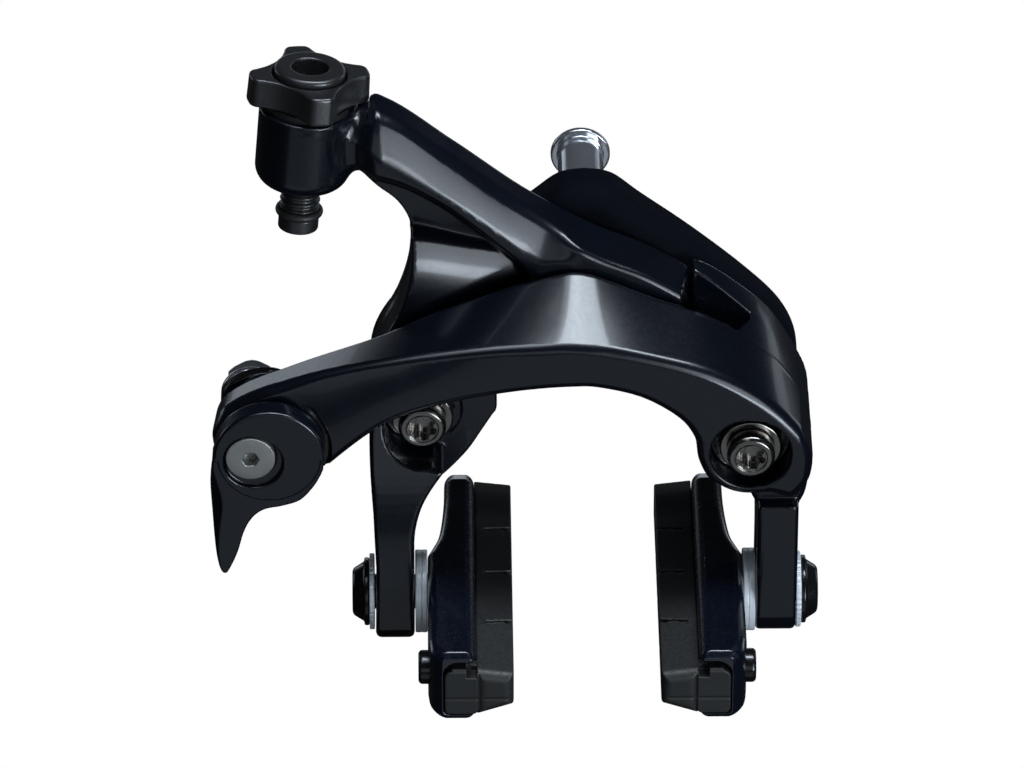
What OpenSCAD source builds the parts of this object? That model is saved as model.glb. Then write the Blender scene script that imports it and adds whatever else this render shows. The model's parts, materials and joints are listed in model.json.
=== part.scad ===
// Dual-pivot rim brake caliper. Millimetres, +Z up, the front of the brake faces -Y.
// The origin is the centre of the washer face that seats on the fork crown, on the mounting bolt's axis.

/* [Pivots] */
// Distance from the centre line to each arm pivot
pivot_x = 27.3; // [27.1:0.1:27.6]
// Drop from the mounting bolt to the arm pivots
pivot_drop = 15.5; // [15.3:0.1:15.8]
// Radius of the pivot bolts' shanks
pivot_shank_r = 3.5; // [3.2:0.05:3.6]
// Radius of the round boss of each arm
boss_r = 8.7; // [8.4:0.1:9]

/* [Mounting] */
// Radius of the mounting bolt (M6)
mount_bolt_r = 3; // [2.8:0.05:3]
// Length of the mounting bolt behind the seat
mount_bolt_reach = 24; // [22:0.5:26]
// Where the sunk nut's flange ends behind the seat
nut_end = 33; // [32:0.5:36]

/* [Shoes] */
// Reach from the mounting bolt down to the shoe bolts
reach = 49; // [48.5:0.1:49.3]
// Gap between the two pads
pad_gap = 24.6; // [24.2:0.1:25]
// Length of each pad
pad_len = 55; // [54:0.5:55]
// Pad thickness in front of its holder
pad_t = 6.3; // [6:0.1:6.4]

/* [Cable adjuster] */
// Lean of the adjuster towards the centre, degrees
lean_side = 4.7; // [4:0.1:5]
// Lean of the adjuster towards the back, degrees
lean_back = 6.4; // [6:0.1:7]
// Radius of the cable housing seat
seat_r = 3.05; // [3:0.01:3.1]
// Depth of the cable housing seat
seat_depth = 4; // [3.5:0.1:4]
// Radius of the knob over its lobes
knob_r = 10; // [9.6:0.1:10.2]

/* [Quick release] */
// Offset of the cable anchor from the lever's own axis
anchor_offset = 3.1; // [2.8:0.1:3.1]
// Radius of the lever's disc
lever_r = 9.2; // [9:0.1:9.4]

/* [Hidden] */
$fn = 48;

// Pivot centres as [x, z]
PR = [pivot_x, -pivot_drop];
PL = [-pivot_x, -pivot_drop];

// Depth layers along Y, from the fork forwards
WASHER_FRONT = -2.5;
BRACKET_FRONT = -11;
ARM_BACK = -12.3;
UPPER_FRONT = -22;
FRONT_BACK = -22.5;
FRONT_FRONT = -36;

// Plain shank of the mounting bolt between the seat and the sunk nut
SHANK_START = 0.3;
SHANK_END = 14.8;
THREAD_R = mount_bolt_r - 0.3;

// Clearance all round a turning shaft, and a small gap between fixed faces
RUN = 0.05;
GAP = 0.02;

// Right pivot: floor of the counterbore, then the collar and the bolt's head in front of it
RIGHT_FLOOR = -31;
COLLAR_T = 3;
COLLAR_R = 5.2;
HEAD_R = 4;
HEAD_T = 3.1;
COUNTER_R = 6.7;
BUSH_R = 5;

// Lever axis as [x, z], and its layers
LEVER = [-52.7, -14.3];
LEVER_BACK = -34.3;
LEVER_FRONT = -38;
HUB_R = 6.4;
LEVER_SEAT_R = 10.2;
ANCHOR = LEVER - [anchor_offset, 0];
ANCHOR_R = 2.5;

// Roller that links the arms, as [x, z], and its layers
ROLLER = [14, 4];
ROLLER_R = 3;
ROLLER_PIN_R = 1.25;
ROLLER_FRONT = -20;
ROLLER_BACK = -14.5;
CLOSED_DEG = 7;

// Pocket between the front arm's arch and its rear wall
POCKET_FRONT = -23.4;
POCKET_BACK = -16.5;

// Adjuster: foot of its axis at the bottom of the housing
FOOT = [-47, -15.6, 26];
HOUSING_R = 7.9;
HOUSING_H = 14;
TUBE_R = 3.35;
TUBE_END = -8.4;
RING_R = 0.75;
RING_SEAT_R = TUBE_R - 0.9;
KNOB_BOTTOM = 15.2;
KNOB_TOP = 20.2;
CAP_TOP = 21.3;
CAP_R = 5.9;

// Return spring: wire radius, coil radius and where its leg runs down
SPRING_WIRE = 0.6;
SPRING_R = 6;
SPRING_LEG_X = -pivot_x - SPRING_R;

// Shoes, distances from the centre line, on the right-hand side
BOLT_Y = -28;
PAD_IN = pad_gap / 2;
PAD_OUT = PAD_IN + pad_t;
HOLDER_OUT = 26.6;
LEG_IN = 28.7;
LEG_OUT = 35.5;
PAD_BACK = -0.6;
SHOE_BOLT_R = 2.95;
RAIL_Z = -49.4;

// ---- helpers -------------------------------------------------------------

// Points on an arc about c, degrees
function arc(c, r, a, b, n = 12) = [for (i = [0:n]) c + r * [cos(a + (b - a) * i / n), sin(a + (b - a) * i / n)]];

// One point of a smooth curve between q and r
function blend_point(p, q, r, s, t) =
    0.5 * ((2 * q) + (r - p) * t + (2 * p - 5 * q + 4 * r - s) * t * t + (3 * q - p - 3 * r + s) * t * t * t);

// Smooth curve through all the points of p
function smooth(p, n = 4) = concat(
    [for (i = [0:len(p) - 2], j = [0:n - 1])
        blend_point(p[max(i - 1, 0)], p[i], p[i + 1], p[min(i + 2, len(p) - 1)], j / n)],
    [p[len(p) - 1]]);

// Turn the point p about c by a degrees, anticlockwise seen from the front
function turn(p, c, a) = c + [
    (p.x - c.x) * cos(a) - (p.y - c.y) * sin(a),
    (p.x - c.x) * sin(a) + (p.y - c.y) * cos(a)];

// Extrude an x-z outline between two depths
module slab(front, back)
    translate([0, back, 0]) rotate([90, 0, 0]) linear_extrude(back - front) children();

// Extrude a y-z outline between two widths
module side_slab(x0, x1)
    translate([x0, 0, 0]) rotate([90, 0, 90]) linear_extrude(x1 - x0) children();

// Round bar along Y through [x, z]
module bar_y(c, r, front, back)
    translate([c.x, back, c.y]) rotate([90, 0, 0]) cylinder(r = r, h = back - front);

// Round bar along X through [y, z]
module bar_x(c, r, x0, x1)
    translate([x0, c.x, c.y]) rotate([0, 90, 0]) cylinder(r = r, h = x1 - x0);

// Bar along Y with a chamfered front edge
module head_y(c, r, front, back, edge) {
    bar_y(c, r, front + edge, back);
    translate([c.x, front + edge, c.y]) rotate([90, 0, 0]) cylinder(r1 = r, r2 = r - edge, h = edge);
}

// Ring along Y
module ring_y(c, r_out, r_in, front, back)
    difference() {
        bar_y(c, r_out, front, back);
        bar_y(c, r_in, front - 1, back + 1);
    }

// Six-lobed driver recess
module star_socket(r, depth)
    for (a = [0:60:120])
        rotate([0, 0, a]) translate([-r, -r * 0.32, 0]) cube([2 * r, r * 0.64, depth]);

// Adjuster frame: Z runs up the adjuster's axis from the bottom of the housing
module along_adjuster() translate(FOOT) rotate([-lean_back, lean_side, 0]) children();

// Left-hand copy of a right-hand shape
module left_hand() mirror([1, 0, 0]) children();

// ---- fixed body ----------------------------------------------------------

// One half of the bracket's outline, crest to lower arch
bracket_half = concat(
    smooth([[0, 20.4], [4.5, 19.5], [9.5, 15.4], [18, 8.6], [27, 0.5], [33, -6.2]]),
    arc(PR, boss_r, 25, -100, 14),
    smooth([[19.5, -20], [12, -13.5], [0, -10.5]]));

module bracket_outline() {
    polygon(bracket_half);
    mirror([1, 0]) polygon(bracket_half);
}

module mount_bracket() color("#15181f")
    difference() {
        slab(BRACKET_FRONT, WASHER_FRONT) bracket_outline();
        bar_y([0, 0], mount_bolt_r + RUN, BRACKET_FRONT - 1, 0);
        bar_y([0, 0], 5.6, BRACKET_FRONT - 1, BRACKET_FRONT + 4);
        for (c = [PR, PL])
            bar_y(c, pivot_shank_r + GAP, BRACKET_FRONT - 1, -3.6);
        ring_y(PL, 7.4, 4.7, BRACKET_FRONT - 1, BRACKET_FRONT + 3.4);
        slab(BRACKET_FRONT - 1, BRACKET_FRONT + 3.4)
            polygon([[SPRING_LEG_X - 1.1, -17], [SPRING_LEG_X + 1.1, -17], [SPRING_LEG_X + 1.1, -30],
                [SPRING_LEG_X - 1.1, -30]]);
    }

module mounting_bolt() color("silver") {
    difference() {
        head_y([0, 0], 5, BRACKET_FRONT + 0.2, BRACKET_FRONT + 4 - GAP, 0.4);
        translate([0, BRACKET_FRONT + 0.1, 0]) rotate([-90, 0, 0]) cylinder(r = 2.9, h = 2.6, $fn = 6);
    }
    // plain shank between the seat and the nut; the thread is a little thinner at both ends
    bar_y([0, 0], THREAD_R, BRACKET_FRONT + 4 - GAP, mount_bolt_reach);
    bar_y([0, 0], mount_bolt_r, SHANK_START, SHANK_END);
}

module serrated_washer() color("silver")
    difference() {
        bar_y([0, 0], 7.6, WASHER_FRONT + GAP, 0);
        bar_y([0, 0], mount_bolt_r + 0.1, -4, 1);
        for (a = [0:15:345])
            rotate([0, a, 0]) translate([7.6, -3, 0]) rotate([0, 45, 0]) cube([0.7, 6, 0.7], center = true);
    }

module sunk_nut() color("gainsboro")
    difference() {
        union() {
            bar_y([0, 0], 3.9, 15, nut_end - 1.6);
            head_nut();
        }
        bar_y([0, 0], THREAD_R + RUN, 14, 26);
        translate([0, 26.5, 0]) rotate([-90, 0, 0]) cylinder(r = 2.9, h = 10, $fn = 6);
    }

// Flange of the sunk nut: two steps
module head_nut() {
    bar_y([0, 0], 5.1, nut_end - 1.8, nut_end - 0.6);
    bar_y([0, 0], 4.5, nut_end - 0.7, nut_end);
}

// Pivot bolt: shank into the bracket, round head with a six-lobed socket
module pivot_bolt(c, floor)
    difference() {
        union() {
            bar_y(c, pivot_shank_r, floor - COLLAR_T - 0.2, -3.7);
            head_y(c, HEAD_R, floor - COLLAR_T - HEAD_T, floor - COLLAR_T - 0.1, 0.5);
        }
        translate([c.x, floor - COLLAR_T - HEAD_T - 0.1, c.y]) rotate([-90, 0, 0]) star_socket(2.4, 2.2);
    }

module right_pivot_bolt() color("dimgray") pivot_bolt(PR, RIGHT_FLOOR);
module left_pivot_bolt() color("dimgray") pivot_bolt(PL, UPPER_FRONT);

// Collar between the head and the arm, with a wrench groove round it
module pivot_collar(c, floor)
    difference() {
        ring_y(c, COLLAR_R, pivot_shank_r + GAP, floor - COLLAR_T, floor - 0.08);
        ring_y(c, COLLAR_R + 1, COLLAR_R - 0.5, floor - COLLAR_T + 1.1, floor - COLLAR_T + 1.6);
    }

module right_pivot_collar() color("gray") pivot_collar(PR, RIGHT_FLOOR);
module left_pivot_collar() color("gray") pivot_collar(PL, UPPER_FRONT);

module thrust_washer(c, r) ring_y(c, r, pivot_shank_r + GAP, ARM_BACK + 0.08, BRACKET_FRONT - GAP);
module right_thrust_washer() color("silver") thrust_washer(PR, 7.5);
module left_thrust_washer() color("silver") thrust_washer(PL, 4.6);

module pivot_bush(c, front) ring_y(c, BUSH_R - GAP, pivot_shank_r + RUN, front, ARM_BACK);
module right_pivot_bush() color("darkgoldenrod") pivot_bush(PR, RIGHT_FLOOR);
module left_pivot_bush() color("darkgoldenrod") pivot_bush(PL, UPPER_FRONT);

// Wire spring: two turns round the left pivot in the bracket's pocket, and a leg down behind the arm
module return_spring() color("lightgray") {
    for (y = [BRACKET_FRONT + 0.9, BRACKET_FRONT + 2])
        translate([PL.x, y, PL.y]) rotate([90, 0, 0])
            rotate_extrude() translate([SPRING_R, 0]) circle(SPRING_WIRE, $fn = 16);
    translate([SPRING_LEG_X, BRACKET_FRONT + 0.8, -32]) cylinder(r = SPRING_WIRE - 0.1, h = 16, $fn = 16);
}

// Nylon block on the arm that the spring's leg slides on
module spring_slider() color("#222222")
    difference() {
        translate([SPRING_LEG_X - 1.9, ARM_BACK + 0.02, -31.5]) cube([3.8, 3.6, 4]);
        translate([SPRING_LEG_X - 0.9, ARM_BACK + 0.9, -32]) cube([1.8, 5, 5]);
    }

// ---- front arm -----------------------------------------------------------

// Main arch: top edge from the anchor end to the right pivot, then the underside
front_top = smooth([[-58, -8.6], [-50, -5.6], [-34, 0.2], [-18, 8], [-8, 12], [0, 13.2], [6, 11.2], [14, 7],
    [20, 3.5]]);
front_right = smooth([[25.7, 3.5], [30.8, -1.5], [34, -6.6], [36.4, -11.5], [37.6, -16.5], [37, -21.5], [34, -25]]);
front_under = smooth([[17.6, -12.5], [14.5, -8.4], [9, -4.4], [0, -1.6], [-11, -2.6], [-22, -4.8], [-31, -8.2],
    [-37, -12.4], [-45, -20]]);

module front_arch_outline() {
    polygon(concat(front_top, [[25.7, 0]], [for (i = [4:len(front_right) - 1]) front_right[i]],
        [[20, -19]], front_under));
    translate(LEVER) circle(9.8);
    translate(PR) circle(boss_r);
}

// Where the roller's centre and the arms' shared centre lie, seen from the front arm, when closed by a
MIDDLE = (PR + PL) / 2;
function roller_from_front(a) = turn(turn(ROLLER, PL, a), PR, a);
function middle_from_front(a) = turn(MIDDLE, PR, a);
function cam_point(a) =
    let (c = roller_from_front(a), d = middle_from_front(a) - c)
    c + d / norm(d) * (ROLLER_R + RUN);

// Rear wall of the front arm: strip behind the pocket, and the cam face under the roller
cam_face = [for (a = [-1.5:0.5:CLOSED_DEG + 1.5]) cam_point(a)];
module rear_wall_outline() {
    polygon(concat([[17.9, 8.6], [19.2, 8.5], [21, 7.6], [23.6, 5.4]], front_right, [[20, -19], [18.8, -13],
        [10.5, -4.6], [5.6, 1.6]], [for (i = [len(cam_face) - 1:-1:0]) cam_face[i]], [[14.6, -2.2], [17.9, -3.2]]));
    translate(PR) circle(boss_r);
}

// A half space above a plane: through p, falling to the right by a degrees, rising to the back by b
module above_plane(p, a, b)
    translate(p) rotate([0, a, 0]) rotate([b, 0, 0]) translate([-90, -40, 0]) cube([180, 90, 40]);

// Leg outline in y-z, round the shoe bolt at its foot
LEG_R = 6.8;
module leg_slot() {
    bar_x([BOLT_Y, -reach], SHOE_BOLT_R + 0.15, LEG_IN - 1, LEG_OUT + 1);
    bar_x([BOLT_Y, -reach + 9], SHOE_BOLT_R + 0.15, LEG_IN - 1, LEG_OUT + 1);
    translate([LEG_IN - 1, BOLT_Y - SHOE_BOLT_R - 0.15, -reach])
        cube([LEG_OUT - LEG_IN + 2, 2 * SHOE_BOLT_R + 0.3, 9]);
}

right_leg = concat([[-13.5, -14], [-33.4, -14], [-33.6, -26.2], [-35.6, -26.6], [-35.6, -49.3], [-35, -51.8]],
    arc([BOLT_Y, -reach], LEG_R, 240, 360, 16), [[BOLT_Y + LEG_R, -38], [-13.5, -24]]);

// Shoulder between the right boss and its leg
shoulder = [[25, -20], [27, -24.5], [28.7, -27.6], [35.5, -27.6], [36.8, -24.4], [37.4, -18], [30, -14]];

module front_arm() color("#1b2029")
    difference() {
        union() {
            difference() {
                slab(FRONT_FRONT, FRONT_BACK) front_arch_outline();
                above_plane([-2, FRONT_FRONT, 6.2], -5.4, 19.7);
                above_plane([0, FRONT_FRONT, 6.2], 13.9, 16);
                above_plane([18.6, FRONT_FRONT, 1.6], 35.9, 13.6);
                // seat for the lever's disc at the anchor end
                bar_y(LEVER, LEVER_SEAT_R, FRONT_FRONT - 1, LEVER_BACK + 0.2);
                translate([-80, FRONT_FRONT - 1, -60]) cube([27, LEVER_BACK - FRONT_FRONT + 1.2, 80]);
            }
            slab(FRONT_BACK - 1, ARM_BACK) rear_wall_outline();
            side_slab(LEG_IN, LEG_OUT) polygon(right_leg);
            slab(-33.5, -13.6) polygon(shoulder);
        }
        // pocket between the arch and the rear wall
        slab(POCKET_FRONT, POCKET_BACK) polygon([[17, 14], [17, 0], [20, -3.4], [27.8, -3.4], [27.8, 14]]);
        bar_y(PR, BUSH_R, FRONT_FRONT - 1, ARM_BACK + 1);
        bar_y(PR, COUNTER_R, FRONT_FRONT - 1, RIGHT_FLOOR);
        bar_y(LEVER, HUB_R + RUN, FRONT_FRONT - 1, FRONT_BACK + 1);
        leg_slot();
        bar_x([-17, -21], 1.05, 30, 39);
    }

module centering_screw() color("silver")
    difference() {
        bar_x([-17, -21], 1.0, 30.4, 37.7);
        translate([37, -17, -21]) rotate([0, 90, 0]) cylinder(r = 0.5, h = 2, $fn = 6);
    }

// ---- upper arm -----------------------------------------------------------

upper_top = smooth([[-38, 41.5], [-34.5, 42.2], [-22, 32.8], [-9, 22.2], [2.7, 15.2], [9.5, 12], [17.4, 7]]);
upper_inside = smooth([[-18.7, -14], [-13.5, -6], [-4, -1.5], [3.4, 0.4], [7.2, 7.6]]);
upper_outside = smooth([[-36, -15], [-35.4, -9], [-33.8, -2.6], [-31.2, 3], [-29, 12.5], [-28.9, 18], [-33.2, 23.8],
    [-38, 26.8], [-44, 27]]);
cam_normal = (ROLLER - MIDDLE) / norm(ROLLER - MIDDLE);
tip_base = ROLLER - cam_normal * (ROLLER_R - 1.1);

module upper_outline() {
    polygon(concat(upper_top, [[17.4, tip_base.y - (17.4 - tip_base.x) * cam_normal.x / cam_normal.y], tip_base],
        [for (i = [len(upper_inside) - 1:-1:0]) upper_inside[i]], [PL], upper_outside, [[-46, 40]]));
    translate(PL) circle(boss_r);
}

left_leg = concat([[ARM_BACK, -14], [-22, -14], [-22, -18], [-29, -20.5], [-34.8, -36], [-34.8, -52.2],
    [-33.4, -54.6], [-31, -55.8]], arc([BOLT_Y, -reach], LEG_R, 270, 360, 12),
    [[BOLT_Y + LEG_R, -38], [ARM_BACK, -25]]);

module upper_arm() color("#181c25")
    difference() {
        union() {
            slab(UPPER_FRONT, ARM_BACK) upper_outline();
            along_adjuster() cylinder(r = HOUSING_R, h = HOUSING_H);
            along_adjuster() translate([0, 0, -1.2]) cylinder(r1 = 5.2, r2 = HOUSING_R, h = 3);
            left_hand() side_slab(LEG_IN, LEG_OUT) polygon(left_leg);
        }
        // hollow between the beam and the column
        slab(UPPER_FRONT - 1, -15.5) polygon(smooth([[-27.4, 21], [-27.6, 15.2], [-10.5, 12.2], [-11.5, 13.6],
            [-24, 23.6], [-27.4, 21]]));
        // slot for the roller in the tip
        slab(ROLLER_FRONT - 0.2, ROLLER_BACK + 0.2) union() {
            translate(ROLLER) circle(ROLLER_R + 0.4);
            polygon([ROLLER + [-3.4, 0], ROLLER + [-3.4, -6], ROLLER + [3.4, -9], ROLLER + [3.4, 0]]);
        }
        bar_y(ROLLER, ROLLER_PIN_R + GAP, UPPER_FRONT - 1, ARM_BACK + 1);
        bar_y(PL, BUSH_R, UPPER_FRONT - 1, ARM_BACK + 1);
        bar_y(PL, COUNTER_R, FRONT_FRONT - 1, UPPER_FRONT);
        along_adjuster() translate([0, 0, -2]) cylinder(r = TUBE_R + RUN, h = HOUSING_H + 4);
        along_adjuster() translate([0, 0, HOUSING_H - 1]) cylinder(r = 5.2, h = 2);
        // room for the knob to turn
        along_adjuster() translate([0, 0, HOUSING_H]) cylinder(r = knob_r + 0.4, h = 14);
        left_hand() leg_slot();
    }

module roller_pin() color("silver") bar_y(ROLLER, ROLLER_PIN_R, UPPER_FRONT + 0.1, ARM_BACK - 0.1);
module sync_roller() color("gray") ring_y(ROLLER, ROLLER_R, ROLLER_PIN_R + RUN, ROLLER_FRONT, ROLLER_BACK);

// ---- cable adjuster ------------------------------------------------------

LOBE_DEG = -77;
FLUTE_R = 10;
FLUTE_BOTTOM = 6.7;
module knob_outline()
    difference() {
        circle(knob_r, $fn = 72);
        for (a = [45:90:315])
            rotate(LOBE_DEG + a) translate([FLUTE_BOTTOM + FLUTE_R, 0]) circle(FLUTE_R, $fn = 72);
    }

module adjuster_knob() color("#1c1c1e")
    along_adjuster() difference() {
        union() {
            translate([0, 0, KNOB_BOTTOM]) linear_extrude(KNOB_TOP - KNOB_BOTTOM) knob_outline();
            translate([0, 0, HOUSING_H - 0.6]) cylinder(r = 5, h = 3);
        }
        translate([0, 0, 5]) cylinder(r = TUBE_R + RUN, h = 30);
        translate([0, 0, KNOB_TOP - 2]) cylinder(r = CAP_R + 0.1, h = 5);
    }

module adjuster_barrel() color("#202024")
    along_adjuster() difference() {
        union() {
            translate([0, 0, TUBE_END]) cylinder(r = TUBE_R, h = KNOB_TOP - TUBE_END);
            translate([0, 0, KNOB_TOP - 2 + 0.05]) cylinder(r = CAP_R, h = CAP_TOP - KNOB_TOP + 1.45);
            translate([0, 0, CAP_TOP - 0.5]) cylinder(r1 = CAP_R, r2 = CAP_R - 0.5, h = 0.5);
            translate([0, 0, CAP_TOP - 0.6]) cylinder(r = CAP_R - 0.5, h = 0.6);
        }
        translate([0, 0, CAP_TOP - seat_depth]) cylinder(r = seat_r, h = seat_depth + 1);
        translate([0, 0, TUBE_END - 1]) cylinder(r = 1.1, h = 40);
        translate([0, 0, TUBE_END + 2.4]) ring_z(TUBE_R + 1, RING_SEAT_R, 1.6);
    }

module ring_z(r_out, r_in, h)
    difference() {
        cylinder(r = r_out, h = h);
        translate([0, 0, -1]) cylinder(r = r_in, h = h + 2);
    }

// Ring that keeps the barrel from dropping through
module adjuster_o_ring() color("#101010")
    along_adjuster() translate([0, 0, TUBE_END + 3.2])
        rotate_extrude() translate([RING_SEAT_R + RING_R + GAP, 0]) circle(RING_R, $fn = 20);

// Flat ring under the knob that gives the clicks
module adjuster_seal() color("#111114")
    along_adjuster() translate([0, 0, HOUSING_H + 0.02]) ring_z(7, 5.15, 1);

// ---- quick release and cable anchor --------------------------------------

lever_tail = smooth([[-61.9, -14.3], [-62.7, -20], [-62.3, -28], [-61.8, -34], [-61.3, -37.2], [-60.6, -38.2],
    [-59.8, -37.6], [-58.3, -34], [-57.1, -29.6], [-55.6, -26.7], [-53.6, -25.1], [-50.6, -24.4], [-47.6, -23.2],
    [-45.4, -20.4], [-44, -17]]);

module qr_lever() color("#1a1e27")
    difference() {
        union() {
            slab(LEVER_FRONT, LEVER_BACK) union() {
                polygon(lever_tail);
                translate(LEVER) circle(lever_r);
            }
            bar_y(LEVER, HUB_R, LEVER_BACK - 0.1, FRONT_BACK + 0.6);
        }
        bar_y(ANCHOR, ANCHOR_R + GAP, LEVER_FRONT - 1, FRONT_BACK + 2);
        bar_y(ANCHOR, 4.2, LEVER_FRONT - 1, LEVER_FRONT + 2.6);
    }

module anchor_bolt() color("darkgray")
    difference() {
        union() {
            head_y(ANCHOR, 4.1, LEVER_FRONT - 0.2, LEVER_FRONT + 2.6 - GAP, 0.4);
            bar_y(ANCHOR, ANCHOR_R, LEVER_FRONT + 2, -13.6);
        }
        translate([ANCHOR.x, LEVER_FRONT - 0.3, ANCHOR.y]) rotate([-90, 0, 0]) cylinder(r = 1.5, h = 2.2, $fn = 6);
    }

// Plate that presses the cable, with a groove for it
CLAMP_FRONT = FRONT_BACK + 0.7;
module clamp_plate() color("#2a2b2e")
    difference() {
        slab(CLAMP_FRONT, CLAMP_FRONT + 2.2) union() {
            translate(ANCHOR) circle(5.2);
            translate(ANCHOR + [2.5, 0]) circle(6);
        }
        bar_y(ANCHOR, ANCHOR_R + GAP, -30, -10);
        translate([ANCHOR.x + 3.4, CLAMP_FRONT, -30]) cylinder(r = 0.85, h = 30);
    }

module anchor_nut() color("silver")
    difference() {
        union() {
            bar_y(ANCHOR, 5.2, CLAMP_FRONT + 2.22, CLAMP_FRONT + 3.4);
            translate([ANCHOR.x, CLAMP_FRONT + 3.4, ANCHOR.y]) rotate([-90, 0, 0]) cylinder(r = 4.6, h = 3.4, $fn = 6);
        }
        bar_y(ANCHOR, ANCHOR_R + GAP, -30, -8);
    }

// ---- shoes, right-hand side, mirrored for the left -------------------------

holder_plan = concat(smooth([[22.6, -0.8], [23.7, -2.6], [23.9, -10], [24.3, -16], [24.9, -21], [26, -24],
    [HOLDER_OUT, -26]]), smooth([[HOLDER_OUT, -50], [26.2, -53], [24.9, -55.4], [24.4, -56]]));

module shoe_holder()
    difference() {
        intersection() {
            translate([0, 0, -60]) linear_extrude(20)
                polygon(concat([[PAD_OUT + GAP, -0.8]], holder_plan, [[PAD_OUT + GAP, -56]]));
            side_slab(15, 30) polygon(concat(
                arc([-4.5, -45.9], 3.7, 0, 90, 8), [[-52, -42.2], [-56, -44]],
                [[-56, -54.6], [-54, -55.8]], arc([-4.5, -52.1], 3.7, -90, 0, 8)));
        }
        // undercut channel for the pad's rail, open at the front
        translate([PAD_OUT - 1, -60, RAIL_Z - 3.1]) cube([4.2, 56.8, 6.2]);
        translate([PAD_OUT + 1.5, -60, RAIL_Z - 4.3]) cube([2.6, 56.8, 8.6]);
        bar_x([BOLT_Y, -reach], SHOE_BOLT_R + RUN, 20, 30);
        bar_x([-49.4, -reach], 1.52, 20, 30);
        bar_x([-49.4, -reach], 2.95, HOLDER_OUT - 1, 30);
    }

// Pad: rim block with cross grooves, and the rail that slides in the holder
module brake_pad()
    difference() {
        union() {
            translate([0, PAD_BACK, 0]) slab(-pad_len, 0)
                polygon([[PAD_IN, -46.6], [PAD_OUT, -45.8], [PAD_OUT, -55], [PAD_IN, -52.8]]);
            translate([PAD_OUT - 0.1, PAD_BACK - pad_len + 0.2, RAIL_Z - 3]) cube([1.7, pad_len - 3, 6]);
            translate([PAD_OUT + 1.55, PAD_BACK - pad_len + 0.2, RAIL_Z - 4.2]) cube([2.45, pad_len - 3, 8.4]);
        }
        for (y = [-13.5, -26, -40])
            translate([PAD_IN - 0.5, y, -60]) rotate([0, 0, -12]) cube([2.2, 1, 30]);
        bar_x([-49.4, -reach], 1.45, PAD_OUT + 3, PAD_OUT + 6);
    }

// Small screw that locks the pad's rail
module pad_screw()
    difference() {
        union() {
            bar_x([-49.4, -reach], 2.85, HOLDER_OUT - 1 + GAP, HOLDER_OUT + 1.6);
            bar_x([-49.4, -reach], 1.4, PAD_OUT + 3.2, HOLDER_OUT);
        }
        translate([HOLDER_OUT + 0.6, -49.4, -reach]) rotate([0, 90, 0]) cylinder(r = 1.2, h = 3, $fn = 6);
    }

module shoe_bolt()
    difference() {
        union() {
            bar_x([BOLT_Y, -reach], SHOE_BOLT_R, PAD_OUT + 4.2, LEG_OUT + 2);
            bar_x([BOLT_Y, -reach], 5.75, LEG_OUT + 0.92, LEG_OUT + 2.1);
            bar_x([BOLT_Y, -reach], 3.85, LEG_OUT + 2, LEG_OUT + 3.3);
            translate([LEG_OUT + 3.3, BOLT_Y, -reach]) rotate([0, 90, 0]) cylinder(r1 = 3.85, r2 = 3.3, h = 0.5);
        }
        translate([LEG_OUT + 1, BOLT_Y, -reach]) rotate([0, 90, 0]) cylinder(r = 2.3, h = 4, $fn = 6);
    }

module washer_x(r_out, x0, x1)
    difference() {
        bar_x([BOLT_Y, -reach], r_out, x0, x1);
        bar_x([BOLT_Y, -reach], SHOE_BOLT_R + 0.1, x0 - 1, x1 + 1);
    }

// Domed pair of washers: the dome's height over the flat at radius r
WASHER_R = 7;
DOME = 0.5;
DOME_EDGE = 1.1;
function dome(r) = DOME_EDGE + DOME * (1 - r * r / (WASHER_R * WASHER_R));
dome_edge = [for (i = [0:8]) let (r = SHOE_BOLT_R + 0.1 + (WASHER_R - SHOE_BOLT_R - 0.1) * i / 8) [r, dome(r)]];

module outer_washer() washer_x(6.4, LEG_OUT + 0.05, LEG_OUT + 0.9);

module convex_washer()
    translate([LEG_IN - GAP, BOLT_Y, -reach]) rotate([0, -90, 0]) rotate_extrude()
        polygon(concat([[WASHER_R, 0], [SHOE_BOLT_R + 0.1, 0]], dome_edge));

module concave_washer()
    translate([LEG_IN - GAP, BOLT_Y, -reach]) rotate([0, -90, 0]) rotate_extrude()
        polygon(concat([for (p = dome_edge) p + [0, GAP]],
            [[WASHER_R, LEG_IN - HOLDER_OUT - 2 * GAP], [SHOE_BOLT_R + 0.1, LEG_IN - HOLDER_OUT - 2 * GAP]]));

module right_shoe_holder() color("#141a28") shoe_holder();
module right_brake_pad() color("#1d1d1d") brake_pad();
module right_pad_screw() color("#222226") pad_screw();
module right_shoe_bolt() color("#1a1a1e") shoe_bolt();
module right_outer_washer() color("silver") outer_washer();
module right_convex_washer() color("silver") convex_washer();
module right_concave_washer() color("gainsboro") concave_washer();
module left_shoe_holder() color("#141a28") left_hand() shoe_holder();
module left_brake_pad() color("#1d1d1d") left_hand() brake_pad();
module left_pad_screw() color("#222226") left_hand() pad_screw();
module left_shoe_bolt() color("#1a1a1e") left_hand() shoe_bolt();
module left_outer_washer() color("silver") left_hand() outer_washer();
module left_convex_washer() color("silver") left_hand() convex_washer();
module left_concave_washer() color("gainsboro") left_hand() concave_washer();

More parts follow.
